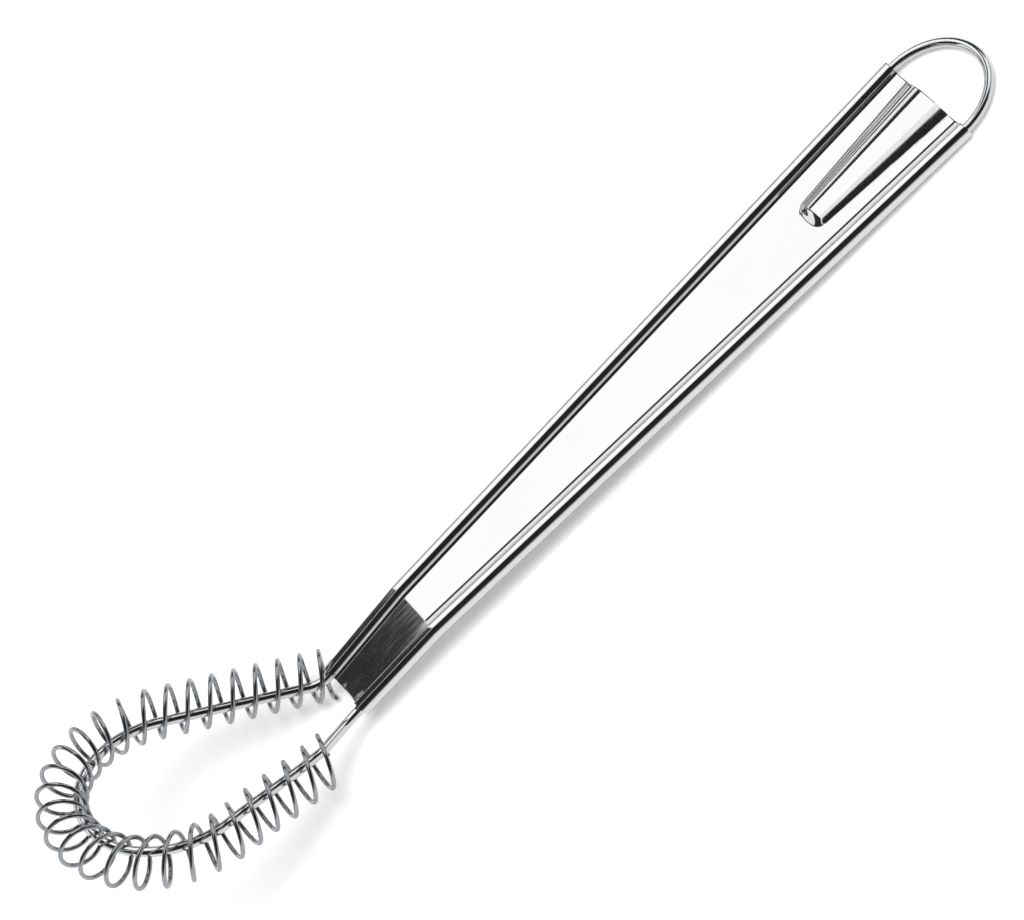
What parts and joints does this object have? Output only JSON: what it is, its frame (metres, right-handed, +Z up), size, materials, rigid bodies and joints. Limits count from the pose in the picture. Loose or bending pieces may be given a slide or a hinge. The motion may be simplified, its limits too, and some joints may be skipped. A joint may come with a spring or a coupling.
{
  "type": "spiral whisk",
  "caption": "Spiral whisk: a tapered sheet-metal handle with rolled edges and a wire hanging loop, and a bent-up teardrop wire head that carries a loose coil of thin wire.",
  "frame": {"origin": "centre of the underside of the bounding box, on the surface that the whisk lies on", "axes": "+X along the handle to the hanging loop, +Y across the handle, +Z up, on the side of the raised head and the pressed flute"},
  "size_m": [0.2506, 0.0552, 0.0384],
  "materials": {
    "polished_sheet": "mirror polished stainless sheet",
    "polished_wire": "polished stainless wire",
    "spring_wire": "bright drawn spring wire"
  },
  "bodies": {
    "handle": {"handle_sheet": "polished_sheet", "hanging_loop": "polished_wire", "head_wire": "polished_wire"},
    "coil": {"whisk_coil": "spring_wire"}
  },
  "joints": [
    {"name": "coil_play", "type": "slide", "parent": "handle", "child": "coil", "axis": [0.4399, 0, 0.898], "range_m": [-0.0007, 0.0004]}
  ]
}
